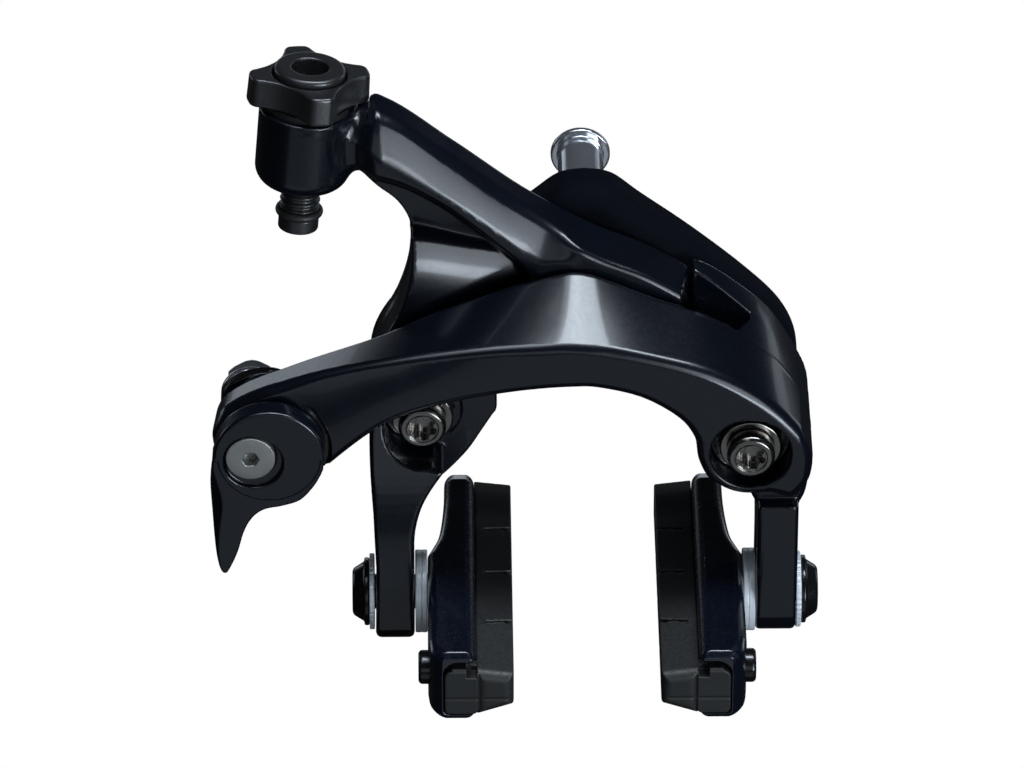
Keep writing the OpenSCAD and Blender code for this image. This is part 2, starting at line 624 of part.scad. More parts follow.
mount_bracket();
mounting_bolt();
serrated_washer();
sunk_nut();
right_pivot_bolt();
right_pivot_collar();
right_thrust_washer();
right_pivot_bush();
left_pivot_bolt();
left_pivot_collar();
left_thrust_washer();
left_pivot_bush();
return_spring();
spring_slider();
centering_screw();
front_arm();
upper_arm();
sync_roller();
roller_pin();
adjuster_knob();
adjuster_barrel();
adjuster_o_ring();
adjuster_seal();
qr_lever();
anchor_bolt();
clamp_plate();
anchor_nut();
right_shoe_holder();
right_brake_pad();
right_pad_screw();
right_shoe_bolt();
right_outer_washer();
right_convex_washer();
right_concave_washer();
left_shoe_holder();
left_brake_pad();
left_pad_screw();
left_shoe_bolt();
left_outer_washer();
left_convex_washer();
left_concave_washer();
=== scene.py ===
import json
import math

import bpy
import numpy as np
from mathutils import Matrix, Vector

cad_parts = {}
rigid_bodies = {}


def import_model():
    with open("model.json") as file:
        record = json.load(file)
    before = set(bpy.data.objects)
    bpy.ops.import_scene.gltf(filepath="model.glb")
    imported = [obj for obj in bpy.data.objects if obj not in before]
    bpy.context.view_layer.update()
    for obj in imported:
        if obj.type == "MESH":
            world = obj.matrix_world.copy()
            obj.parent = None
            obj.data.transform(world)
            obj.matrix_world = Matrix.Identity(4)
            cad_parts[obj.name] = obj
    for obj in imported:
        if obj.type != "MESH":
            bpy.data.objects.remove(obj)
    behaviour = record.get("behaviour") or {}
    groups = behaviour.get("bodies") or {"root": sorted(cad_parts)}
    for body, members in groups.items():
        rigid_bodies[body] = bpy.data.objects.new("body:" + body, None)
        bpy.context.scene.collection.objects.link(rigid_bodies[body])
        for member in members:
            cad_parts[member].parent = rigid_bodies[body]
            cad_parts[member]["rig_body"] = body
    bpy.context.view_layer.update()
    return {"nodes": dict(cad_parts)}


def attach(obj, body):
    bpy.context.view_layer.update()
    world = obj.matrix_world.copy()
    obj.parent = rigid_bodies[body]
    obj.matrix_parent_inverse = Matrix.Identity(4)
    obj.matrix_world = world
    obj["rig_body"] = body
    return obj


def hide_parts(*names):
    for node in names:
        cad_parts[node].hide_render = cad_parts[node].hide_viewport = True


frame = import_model()
MM = 0.001

# ---- main sizes, millimetres, in the CAD frame -----------------------------
# places in x and z: right and left pivot, the point between them, lever, cable anchor and roller
PR = (27.3, -15.5)
PL = (-27.3, -15.5)
MIDDLE = (0.0, -15.5)
LEVER = (-52.7, -14.3)
ANCHOR = (-55.8, -14.3)
ROLLER = (14.0, 4.0)
# depths: back of both arms, front of the upper arm's tip, back and front of the front arm's arch
BACK_Y = -12.3
UPPER_Y = -22.0
BEHIND_Y = -22.5
FRONT_Y = -36.0
# radii of the pivots' bushes and bosses, and of the cam face about the roller's centre
BUSH = 5.0
BOSS = 8.7
CAM_FROM_ROLLER = 3.05
FACET_DEPTH = 14.0
# shoes, in y and z: lowest place of the bolt, its slot, its washers' bore, and the screw in the pad
SHOE_Y, SHOE_Z = -28.0, -49.0
SLOT_R, REACH = 3.1, 9.0
SHOE_BORE = 3.05
PAD_SCREW = (-49.4, -49.0)
# the adjuster's foot, and how far its axis leans
FOOT = np.array([-47.0, -15.6, 26.0])
LEAN_SIDE, LEAN_BACK = math.radians(4.7), math.radians(6.4)


# ---- distance forms ---------------------------------------------------------
def smooth(points, n=5):
    """A smooth line through the points."""
    p = np.array(points, float)
    out = []
    for i in range(len(p) - 1):
        a, b, c, d = p[max(i - 1, 0)], p[i], p[i + 1], p[min(i + 2, len(p) - 1)]
        for t in np.arange(n) / n:
            out.append(0.5 * (2 * b + (c - a) * t + (2 * a - 5 * b + 4 * c - d) * t * t
                              + (3 * b - a - 3 * c + d) * t ** 3))
    out.append(p[-1])
    return [tuple(q) for q in out]


def line(points):
    """A smooth height over one variable, with no overshoot."""
    px = np.array([p[0] for p in points], float)
    py = np.array([p[1] for p in points], float)
    h = np.diff(px)
    s = np.diff(py) / h
    m = np.concatenate([[s[0]], np.zeros(len(s) - 1), [s[-1]]])
    for i in range(1, len(s)):
        if s[i - 1] * s[i] > 0:
            w1, w2 = 2 * h[i] + h[i - 1], h[i] + 2 * h[i - 1]
            m[i] = (w1 + w2) / (w1 / s[i - 1] + w2 / s[i])

    def value(x):
        x = np.asarray(x, float)
        i = np.clip(np.searchsorted(px, x) - 1, 0, len(h) - 1)
        t = np.clip((x - px[i]) / h[i], 0, 1)
        inner = (py[i] * (1 + 2 * t) * (1 - t) ** 2 + m[i] * h[i] * t * (1 - t) ** 2
                 + py[i + 1] * t * t * (3 - 2 * t) + m[i + 1] * h[i] * t * t * (t - 1))
        before = np.where(x < px[0], (x - px[0]) * m[0], 0)
        after = np.where(x > px[-1], (x - px[-1]) * m[-1], 0)
        return inner + before + after

    return value


def outline(u, v, pts):
    """Signed distance to a closed outline."""
    u, v = np.broadcast_arrays(u, v)
    best = np.full(u.shape, 1e9)
    odd = np.zeros(u.shape, bool)
    for (ax, ay), (bx, by) in zip(pts, list(pts[1:]) + [pts[0]]):
        ex, ey = bx - ax, by - ay
        size = ex * ex + ey * ey
        if size < 1e-12:
            continue
        wx, wy = u - ax, v - ay
        t = np.clip((wx * ex + wy * ey) / size, 0, 1)
        best = np.minimum(best, (wx - ex * t) ** 2 + (wy - ey * t) ** 2)
        if ay != by:
            odd ^= ((ay > v) != (by > v)) & (u < ex * (v - ay) / ey + ax)
    return np.where(odd, -1, 1) * np.sqrt(best)


def ring(u, v, c, r):
    return np.hypot(u - c[0], v - c[1]) - r


def slab(t, a, b):
    return np.maximum(a - t, t - b)


def join(a, b, k=0.0):
    """Union with a fillet."""
    if k == 0:
        return np.minimum(a, b)
    h = np.maximum(k - np.abs(a - b), 0) / k
    return np.minimum(a, b) - h * h * k / 4


def both(a, b, r=0.0):
    """Intersection with a rounded edge."""
    if np.ndim(r) == 0 and r == 0:
        return np.maximum(a, b)
    return (np.minimum(np.maximum(a, b), -r)
            + np.hypot(np.maximum(a + r, 0), np.maximum(b + r, 0)))


def cut(a, b, r=0.0):
    return both(a, -b, r)


def below(z, height, u, v, e=0.05):
    """Distance under a height field height(u, v)."""
    h = height(u, v)
    gu = (height(u + e, v) - h) / e
    gv = (height(u, v + e) - h) / e
    return (z - h) / np.sqrt(1 + gu * gu + gv * gv)


def behind(y, depth, x, z, e=0.05):
    """Distance behind a front surface y = depth(x, z)."""
    d = depth(x, z)
    gx = (depth(x + e, z) - d) / e
    gz = (depth(x, z + e) - d) / e
    return (d - y) / np.sqrt(1 + gx * gx + gz * gz)


def ease(t):
    t = np.clip(t, 0, 1)
    return t * t * (3 - 2 * t)


def adjuster_frame(x, y, z):
    """The point seen from the adjuster's foot: (across, towards the back, up)."""
    # The CAD leans it back about X and then to the side about Y. Here the side lean is undone first.
    dx, dy, dz = x - FOOT[0], y - FOOT[1], z - FOOT[2]
    cb, sb = math.cos(LEAN_BACK), math.sin(LEAN_BACK)
    cs, ss = math.cos(LEAN_SIDE), math.sin(LEAN_SIDE)
    across, up = cs * dx - ss * dz, ss * dx + cs * dz
    return across, cb * dy - sb * up, sb * dy + cb * up


# ---- mesh from a form -------------------------------------------------------
def skin(form, lo, hi, cell):
    """Points, four-sided faces and normals of the surface where a form is zero, inside a box."""
    lo, hi = np.array(lo, float), np.array(hi, float)
    n = np.ceil((hi - lo) / cell).astype(int) + 1
    xs = [lo[i] + cell * np.arange(n[i]) for i in range(3)]
    v = np.broadcast_to(form(xs[0][:, None, None], xs[1][None, :, None], xs[2][None, None, :]), n)
    v = np.ascontiguousarray(v, np.float32)
    inside = v < 0
    corners = [(i, j, k) for i in (0, 1) for j in (0, 1) for k in (0, 1)]
    count = np.zeros(np.array(n) - 1, np.int8)
    for i, j, k in corners:
        count += inside[i:n[0] - 1 + i, j:n[1] - 1 + j, k:n[2] - 1 + k]
    active = (count > 0) & (count < 8)
    index = np.full(active.shape, -1, np.int64)
    cells = np.argwhere(active)
    index[active] = np.arange(len(cells))
    total, hits = np.zeros((len(cells), 3)), np.zeros(len(cells))
    for axis in range(3):
        unit = np.eye(3, dtype=int)[axis]
        for c in corners:
            if c[axis]:
                continue
            a = cells + c
            b = a + unit
            va = v[a[:, 0], a[:, 1], a[:, 2]].astype(float)
            vb = v[b[:, 0], b[:, 1], b[:, 2]].astype(float)
            cross = (va < 0) != (vb < 0)
            t = np.where(cross, va / np.where(cross, va - vb, 1), 0)
            total += np.where(cross[:, None], np.array(c) + t[:, None] * unit, 0)
            hits += cross
    points = lo + (cells + total / hits[:, None]) * cell
    quads = []
    for axis in range(3):
        b, c = [(1, 2), (2, 0), (0, 1)][axis]
        first = np.take(inside, range(n[axis] - 1), axis)
        change = first != np.take(inside, range(1, n[axis]), axis)
        e = np.argwhere(change)
        e = e[(e[:, b] > 0) & (e[:, c] > 0) & (e[:, b] < n[b] - 1) & (e[:, c] < n[c] - 1)]
        keep = inside[e[:, 0], e[:, 1], e[:, 2]]
        q = []
        for db, dc in ((-1, -1), (0, -1), (0, 0), (-1, 0)):
            t = e.copy()
            t[:, b] += db
            t[:, c] += dc
            q.append(index[t[:, 0], t[:, 1], t[:, 2]])
        q = np.stack(q, 1)
        q[~keep] = q[~keep][:, ::-1]
        quads.append(q)
    quads = np.concatenate(quads)
    for _ in range(2):
        f, g = slope(form, points, 0.02)
        size = np.maximum((g * g).sum(1), 0.2)
        points -= np.clip(f / size, -0.5 * cell, 0.5 * cell)[:, None] * g
    _, normals = slope(form, points, 0.06)
    normals /= np.maximum(np.linalg.norm(normals, axis=1), 1e-9)[:, None]
    return points, quads, normals


def slope(form, p, e):
    """A form's value and gradient at the points p."""
    f = form(p[:, 0], p[:, 1], p[:, 2])
    g = np.empty_like(p)
    for i in range(3):
        d = np.zeros(3)
        d[i] = e
        a, b = p + d, p - d
        g[:, i] = (form(a[:, 0], a[:, 1], a[:, 2]) - form(b[:, 0], b[:, 1], b[:, 2])) / (2 * e)
    return f, g


def build(name, skinned, body, stands_for, material, mirror=False):
    """A piece of the scene that rides a body and stands for CAD nodes."""
    points, quads, normals = (a.copy() for a in skinned)
    if mirror:
        points[:, 0] *= -1
        normals[:, 0] *= -1
        quads = quads[:, ::-1]
    mesh = bpy.data.meshes.new(name)
    mesh.vertices.add(len(points))
    mesh.vertices.foreach_set("co", (points * MM).astype(np.float32).ravel())
    mesh.loops.add(quads.size)
    mesh.loops.foreach_set("vertex_index", quads.astype(np.int32).ravel())
    mesh.polygons.add(len(quads))
    mesh.polygons.foreach_set("loop_start", np.arange(0, quads.size, 4, dtype=np.int32))
    mesh.polygons.foreach_set("use_smooth", np.ones(len(quads), bool))
    mesh.update(calc_edges=True)
    mesh.validate()
    mesh.normals_split_custom_set_from_vertices([tuple(v) for v in normals])
    obj = bpy.data.objects.new(name, mesh)
    bpy.context.scene.collection.objects.link(obj)
    mesh.materials.append(material)
    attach(obj, body)
    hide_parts(*stands_for)
    return obj


# ---- materials --------------------------------------------------------------
def finish_node(name, base, second, metallic, rough, rough_vary, coat=0.0, coat_rough=0.1, specular=0.5,
                grain=900.0, bump=0.02, edge_highlight=0.0, edge_highlight_color=(0.5, 0.5, 0.5), edge_highlight_width=0.15, brushed=None):
    m = bpy.data.materials.new(name)
    m.use_nodes = True
    nt = m.node_tree
    nt.nodes.clear()
    out = nt.nodes.new("ShaderNodeOutputMaterial")
    bsdf = nt.nodes.new("ShaderNodeBsdfPrincipled")
    nt.links.new(bsdf.outputs[0], out.inputs[0])
    bsdf.inputs["Metallic"].default_value = metallic
    bsdf.inputs["Specular IOR Level"].default_value = specular
    bsdf.inputs["Coat Weight"].default_value = coat
    bsdf.inputs["Coat Roughness"].default_value = coat_rough
    where = nt.nodes.new("ShaderNodeTexCoord")
    scale = nt.nodes.new("ShaderNodeMapping")
    scale.inputs["Scale"].default_value = brushed or (1, 1, 1)
    nt.links.new(where.outputs["Object"], scale.inputs[0])
    cloud = nt.nodes.new("ShaderNodeTexNoise")
    cloud.inputs["Scale"].default_value = grain * 0.12
    cloud.inputs["Detail"].default_value = 4
    nt.links.new(scale.outputs[0], cloud.inputs["Vector"])
    fine = nt.nodes.new("ShaderNodeTexNoise")
    fine.inputs["Scale"].default_value = grain
    fine.inputs["Detail"].default_value = 3
    nt.links.new(scale.outputs[0], fine.inputs["Vector"])
    tint = nt.nodes.new("ShaderNodeMix")
    tint.data_type = "RGBA"
    tint.inputs[6].default_value = (*base, 1)
    tint.inputs[7].default_value = (*second, 1)
    nt.links.new(cloud.outputs["Fac"], tint.inputs[0])
    color = tint.outputs[2]
    rmap = nt.nodes.new("ShaderNodeMapRange")
    rmap.inputs["From Min"].default_value = 0.3
    rmap.inputs["From Max"].default_value = 0.7
    rmap.inputs["To Min"].default_value = rough - rough_vary
    rmap.inputs["To Max"].default_value = rough + rough_vary
    nt.links.new(fine.outputs["Fac"], rmap.inputs["Value"])
    nt.links.new(rmap.outputs[0], bsdf.inputs["Roughness"])
    # painted edge highlight: edges found by the Bevel node are lightened towards a lighter colour, in patches
    # from the cloud noise, standing for reflections on the rounds
    if edge_highlight:
        bev = nt.nodes.new("ShaderNodeBevel")
        bev.samples = 4
        bev.inputs["Radius"].default_value = edge_highlight_width * MM
        geo = nt.nodes.new("ShaderNodeNewGeometry")
        dot = nt.nodes.new("ShaderNodeVectorMath")
        dot.operation = "DOT_PRODUCT"
        nt.links.new(bev.outputs[0], dot.inputs[0])
        nt.links.new(geo.outputs["Normal"], dot.inputs[1])
        edge = nt.nodes.new("ShaderNodeMapRange")
        edge.inputs["From Min"].default_value = 0.995
        edge.inputs["From Max"].default_value = 0.90
        edge.inputs["To Min"].default_value = 0.0
        edge.inputs["To Max"].default_value = edge_highlight
        nt.links.new(dot.outputs["Value"], edge.inputs["Value"])
        patchy_highlight = nt.nodes.new("ShaderNodeMath")
        patchy_highlight.operation = "MULTIPLY"
        nt.links.new(edge.outputs[0], patchy_highlight.inputs[0])
        nt.links.new(cloud.outputs["Fac"], patchy_highlight.inputs[1])
        highlighted = nt.nodes.new("ShaderNodeMix")
        highlighted.data_type = "RGBA"
        highlighted.inputs[7].default_value = (*edge_highlight_color, 1)
        nt.links.new(patchy_highlight.outputs[0], highlighted.inputs[0])
        nt.links.new(color, highlighted.inputs[6])
        color = highlighted.outputs[2]
    nt.links.new(color, bsdf.inputs["Base Color"])
    lift = nt.nodes.new("ShaderNodeBump")
    lift.inputs["Strength"].default_value = bump
    lift.inputs["Distance"].default_value = 0.1 * MM
    nt.links.new(fine.outputs["Fac"], lift.inputs["Height"])
    nt.links.new(lift.outputs[0], bsdf.inputs["Normal"])
    return m


GLOSS = finish_node("gloss_navy", (0.0012, 0.0018, 0.004), (0.0024, 0.0038, 0.0085), 0.0, 0.25, 0.02,
                    coat=0.2, coat_rough=0.06, specular=0.55, grain=1500, bump=0.006)
BRACKET = finish_node("bracket_navy", (0.001, 0.0014, 0.003), (0.002, 0.003, 0.006), 0.0, 0.8, 0.05, coat=0.0,
                      coat_rough=0.25, specular=0.06, grain=1500, bump=0.03)
HOLDER = finish_node("holder_navy", (0.001, 0.002, 0.006), (0.002, 0.004, 0.012), 0.0, 0.25, 0.04, coat=0.5,
                     coat_rough=0.1, specular=0.8, grain=1200, bump=0.006)
STEEL = finish_node("dark_steel", (0.20, 0.185, 0.17), (0.30, 0.28, 0.26), 1.0, 0.2, 0.05, grain=1800,
                    bump=0.03)
# painted edge highlight: the anchor screw's rounded edges are lightened to a paler grey
ANCHOR_STEEL = finish_node("anchor_grey", (0.30, 0.295, 0.285), (0.42, 0.415, 0.40), 0.75, 0.42, 0.08,
                           grain=2600, bump=0.12, edge_highlight=0.8, edge_highlight_color=(0.45, 0.45, 0.45))
SILVER = finish_node("bright_silver", (0.72, 0.74, 0.78), (0.84, 0.86, 0.9), 0.9, 0.15, 0.04, grain=1500,
                     bump=0.02)
SATIN = finish_node("satin_silver", (0.84, 0.88, 0.93), (0.9, 0.94, 0.98), 0.15, 0.32, 0.06, grain=1700,
                    bump=0.05, brushed=(1, 1, 6))
# painted edge highlight: the knob's rounded edges are lightened well above its near-black colour
KNOB = finish_node("knob_black", (0.010, 0.010, 0.0105), (0.017, 0.017, 0.018), 0.0, 0.33, 0.05, specular=0.9,
                   grain=2200, bump=0.05, edge_highlight=0.3, edge_highlight_color=(0.1, 0.1, 0.1))
NYLON = finish_node("nylon_black", (0.006, 0.006, 0.0065), (0.011, 0.011, 0.011), 0.0, 0.45, 0.06, grain=1800,
                    bump=0.08)
# painted edge highlight: the pad's rounded edges are lightened to a paler grey
RUBBER = finish_node("pad_rubber", (0.010, 0.010, 0.0095), (0.018, 0.018, 0.0175), 0.0, 0.52, 0.08,
                     specular=0.6, grain=1600, bump=0.2, edge_highlight=0.2, edge_highlight_color=(0.07, 0.07, 0.068))
BLACK_BOLT = finish_node("black_bolt", (0.008, 0.008, 0.009), (0.014, 0.014, 0.015), 0.5, 0.2, 0.04,
                         specular=1.0, grain=1800, bump=0.03)
BRONZE = finish_node("bush_bronze", (0.3, 0.19, 0.08), (0.4, 0.26, 0.12), 1.0, 0.35, 0.08, grain=1500,
                     bump=0.06)


# ---- front arm --------------------------------------------------------------
ridge_z = line([(-62, -8.6), (-54.1, -3.7), (-50.7, -2.3), (-44.1, 0.2), (-34.2, 2.6), (-24.3, 4.1),
                (-14.4, 5.4), (-2, 6.2), (6, 7.0)])
ridge_z_right = line([(-8, 8.2), (0.4, 6.0), (8.7, 4.3), (18.6, 1.4), (28.6, -4.3), (35.3, -10.8), (38, -15)])
middle_z = line([(-62.3, -15.1), (-60.8, -12.5), (-58, -9.9), (-49.3, -5.9), (-34.2, 0.1), (-25.9, 4.5),
                 (-17.6, 8.1), (-10.9, 10.8), (-4.3, 12.9), (-1, 13.7), (6, 15.2)])
middle_z_right = line([(-8, 17.5), (-1, 13.7), (2.3, 12.3), (12.3, 7.7), (19, 5.3), (25.7, 1.1), (30.8, -3.3),
                       (34, -7.6), (38, -14.5)])
setback = line([(-63, 5.5), (-54, 5), (-44, 4), (-34, 2.5), (-24, 1.2), (-14, 0.4), (-6, 0), (40, 0)])
under_z = line([(-60, -40), (-44, -17.7), (-36, -10.4), (-31, -6.6), (-21.8, -4.4), (-14.4, -3), (-7.7, -2.2),
                (40, -2)])
FRONT_SIDE = (
    [(-60.4, -20), (-61.9, -15), (-61.9, 26), (40, 26), (40, -10)]
    + smooth([(37.2, -12), (37.7, -16.5), (37.1, -21.5), (34.5, -25)])
    + [(20.4, -21)]
    + smooth([(18.9, -17), (17.8, -12.6), (15, -8.6), (9, -4.6), (2, -2.6), (-2, -2.4), (-8, -2.8),
              (-14.4, -3.7), (-22, -5.3), (-31, -8.4), (-37, -12.4), (-45, -20), (-47, -22)], 4)
    + [(-52, -25)]
)
REAR_WALL_TOP = [(17.9, 8.1)] + smooth(
    [(19.2, 8.0), (21, 7.4), (23.6, 5.6), (25.7, 3.5), (30.8, -1.5), (34, -6.6), (36.4, -11.5), (37.6, -16.5),
     (37, -21.5), (34, -25)], 3)


def turned(p, c, degrees):
    """The point p turned about c."""
    a = math.radians(degrees)
    dx, dz = p[0] - c[0], p[1] - c[1]
    return (c[0] + dx * math.cos(a) - dz * math.sin(a), c[1] + dx * math.sin(a) + dz * math.cos(a))


def cam_points():
    """The front arm's cam face: the roller's own envelope as both arms close."""
    found = []
    for k in range(21):
        a = -1.5 + 0.5 * k  # degrees, from a little before rest to a little past closed
        r = turned(turned(ROLLER, PL, a), PR, a)
        m = turned(MIDDLE, PR, a)
        d = np.array(m) - np.array(r)
        d = d / np.linalg.norm(d) * CAM_FROM_ROLLER
        found.append((r[0] + d[0], r[1] + d[1]))
    return found


REAR_WALL = (REAR_WALL_TOP + [(20, -19), (18.8, -13), (10.5, -4.6), (5.6, 1.6)] + cam_points()[::-1]
             + [(14.6, -2.2), (17.9, -3.2)])


def foot(start, end, n):
    """Round of a leg's foot, in y and z."""
    angles = np.radians(np.linspace(start, end, n))
    return [(SHOE_Y + 6.8 * math.cos(a), SHOE_Z + 6.8 * math.sin(a)) for a in angles]


RIGHT_LEG = ([(-13.5, -14), (-33.4, -14), (-33.6, -26.2), (-35.6, -26.6), (-35.6, -49.3), (-35, -51.8)]
             + foot(240, 360, 14) + [(-21.2, -38), (-13.5, -24)])
SHOULDER = [(25, -20)] + smooth([(26.2, -22.6), (27, -24.5), (28.0, -26.8), (28.7, -27.8)], 3) + smooth(
    [(35.5, -27.8), (36.3, -26.4), (36.9, -24), (37.5, -18)], 3) + [(30, -14)]


def facet(front, rear):
    """A top surface from a height line at the front to another one FACET_DEPTH behind it."""
    def height(x, y):
        share = (y - FRONT_Y) / FACET_DEPTH
        return front(x) + (rear(x) - front(x)) * share
    return height


facet_left = facet(ridge_z, middle_z)
facet_right = facet(ridge_z_right, middle_z_right)


def reach_slot(y, z):
    """The slot along which a shoe bolt is set, in y and z."""
    ends = join(ring(y, z, (SHOE_Y, SHOE_Z), SLOT_R), ring(y, z, (SHOE_Y, SHOE_Z + REACH), SLOT_R))
    return join(ends, np.maximum(slab(y, SHOE_Y - SLOT_R, SHOE_Y + SLOT_R), slab(z, SHOE_Z, SHOE_Z + REACH)))


def front_arm(x, y, z):
    side = outline(x, z, FRONT_SIDE)
    side = join(side, ring(x, z, LEVER, 9.55), 0.5)
    side = join(side, ring(x, z, PR, BOSS), 1.0)
    top = both(below(z, facet_left, x, y), below(z, facet_right, x, y), 1.5)
    # the front face leans back towards its top on the left
    share = np.clip((z - under_z(x)) / np.maximum(ridge_z(x) - under_z(x), 3), 0, 1.4)
    face = (FRONT_Y + setback(x) * share * share - y) * 0.97
    body = both(side, face, 2.0)
    body = both(body, y - BEHIND_Y, 0.5)
    edge = line([(-62, 2.2), (-50, 1.8), (-40, 1.3), (-20, 1.1), (0, 1.2), (20, 1.6), (38, 2.2)])(x)
    body = both(body, top, edge)
    wall = outline(x, z, REAR_WALL)
    wall = join(wall, ring(x, z, PR, BOSS), 0.5)
    wall = both(wall, slab(y, BEHIND_Y - 2, BACK_Y), 0.5)
    wall = both(wall, below(z, facet_right, x, y), 0.7)
    body = join(body, wall, 0.3)
    leg = both(outline(y, z, RIGHT_LEG), slab(x, 28.7, 35.5), 0.8)
    shoulder = both(outline(x, z, SHOULDER), slab(y, -33.5, -13.6), 1.3)
    body = join(body, join(leg, shoulder, 0.4), 0.8)
    # pocket behind the facet
    pocket = outline(x, z, [(16.6, 14), (16.6, 0), (20, -3.4), (27.2, -3.4), (27.9, 14)])
    pocket = np.maximum(pocket, np.maximum(-23.4 - y, (y + 15.2 + (x - 17.4) * 0.24) * 0.97))
    pocket = np.maximum(pocket, (x - 27.9 - (y + 17.8) * 0.5) * 0.9)
    body = cut(body, pocket, 0.4)
    # lever seat
    body = cut(body, both(ring(x, z, LEVER, 10.2), y + 34.15, 0.3), 0.35)
    body = cut(body, ring(x, z, LEVER, 6.45), 0.3)
    # right pivot: wide shallow step, counterbore, bush bore
    body = cut(body, both(ring(x, z, PR, 6.7), y + 31.0, 0.3), 0.45)
    body = cut(body, ring(x, z, PR, BUSH), 0.2)
    body = cut(body, both(reach_slot(y, z), slab(x, 28, 36.5)), 0.3)
    screw = both(ring(y, z, (-17, -21), 1.05), 30 - x)
    return cut(body, screw, 0.15)


# ---- upper arm --------------------------------------------------------------
beam_top = line([(-60, 39.4), (-38, 39.8), (-36.6, 40.5), (-35.6, 41.3), (-34.6, 41.7), (-33, 41.0),
                 (-22, 32.6), (-9, 22.2), (2.7, 15.0), (9.5, 11.9), (17.5, 6.9), (20, 5.2)])
crest_y = line([(-50, -18.2), (-36, -18.2), (-13.8, -18.0), (-7, -18.6), (-4.3, -19.4), (-2, -21.2),
                (0, -22.0), (25, -22.0)])
lower_z = line([(-44, 38), (-36.4, 35.4), (-33.1, 33), (-20.8, 24.6), (-13.8, 18.8), (-9.3, 14.9),
                (-6.8, 13.9), (-3.8, 14.2), (0.3, 13.7), (13.7, 7.0), (18, 4.4)])
UPPER_OUT = (
    [(-46, 46), (20, 46), (17.6, 12), (17.4, 3.5), (12.4, 0.9)]
    + smooth([(7.4, 7.4), (3.4, 0.6), (-4, -1.5), (-13.5, -6), (-18.7, -14)], 4)
    + [(-24, -16)]
    + smooth([(-36, -15), (-35.4, -9), (-33.8, -2.6), (-31.2, 3), (-29.6, 8), (-28.9, 12.5), (-29, 17),
              (-30.7, 20.9), (-33.2, 23.5), (-36.5, 25.9), (-38.5, 26.8), (-42, 27.2), (-46, 27.4)], 4)
)
lip_z = line([(-44, 32.4), (-38.9, 32.2), (-34, 31.4), (-30.7, 30.3), (-24.1, 26.4), (-14.2, 17.6),
              (-10.1, 13.8), (0, 9)])
LEFT_LEG = (
    [(BACK_Y, -13)]
    + smooth([(-24, -11), (-26.8, -14), (-28.9, -18.5), (-31.4, -24.5), (-33.4, -31), (-34.5, -37.5),
              (-34.8, -44), (-34.8, -52.2)], 4)
    + [(-34.1, -53.9), (-33, -55), (-31, -55.8)] + foot(270, 360, 12) + [(-21.2, -38), (BACK_Y, -25)]
)
LEG_LEFT = [(-35.4, -56.5), (-35.2, -40)] + smooth([(-35.6, -30), (-36.1, -22), (-36, -15), (-34.6, -11)], 4)
LEG_FRONT = LEG_LEFT + [(-24, -12), (-22, -20)] + smooth(
    [(-23.2, -22.4), (-25.4, -25.2), (-27.3, -28.4), (-28.4, -32), (-28.8, -36),
     (-28.8, -42)], 4) + [(-28.8, -56.5)]
LEG_REAR = LEG_LEFT + smooth(
    [(-15, -11), (-14.8, -15.4), (-15.6, -17), (-17.4, -20.2), (-19.6, -24), (-22.6, -27.8), (-26, -31.4),
     (-28.2, -35), (-28.8, -39), (-28.8, -44)], 4) + [(-28.8, -56.5)]
shelf = line([(-38, -12), (-34.2, -12.6), (-33.4, -14.7), (-31.5, -19), (-29.3, -21.1), (-26, -22),
              (-23.7, -22.6), (-18, -24)])
web_z = line([(-40, 19.0), (-27.7, 16.9), (-20, 14.7), (-9.7, 12.0), (0, 9)])


def tip_top(x, y):
    return beam_top(x) + (y - BACK_Y) * 0.09


def beam_front(x, z):
    """Lit face, lip and the hollow under it, seen from the front."""
    lean = (UPPER_Y - crest_y(x)) / np.maximum(beam_top(x) - lower_z(x), 1.5)
    down = np.clip((beam_top(x) - z) / np.maximum(beam_top(x) - lower_z(x), 1.5), 0, 1)
    y = crest_y(x) + lean * (beam_top(x) - z) - 0.42 * np.sin(math.pi * down) * np.clip((-4 - x) / 6, 0, 1)
    y = -join(-y, -UPPER_Y, 0.35)
    inset = 6.8 * ease((lip_z(x) - z) / 6.0) * np.clip((-8.0 - x) / 4, 0, 1)
    return y + inset + 4.6 * ease((-33.6 - x) / 8)


def web_front(x, z):
    lean = np.clip(11 - (web_z(x) - z), 0, 11)
    return -21.6 + 0.16 * np.clip(x + 29, 0, 30) + 0.025 * lean * lean


def dent(x, y, z):
    """Three-sided dent where the beam leaves the pot."""
    return np.sqrt(((x + 40.6) / 1.5) ** 2 + ((y + 21.4) / 1.1) ** 2 + ((z - 35.2) / 3.4) ** 2) * 1.1 - 1.1


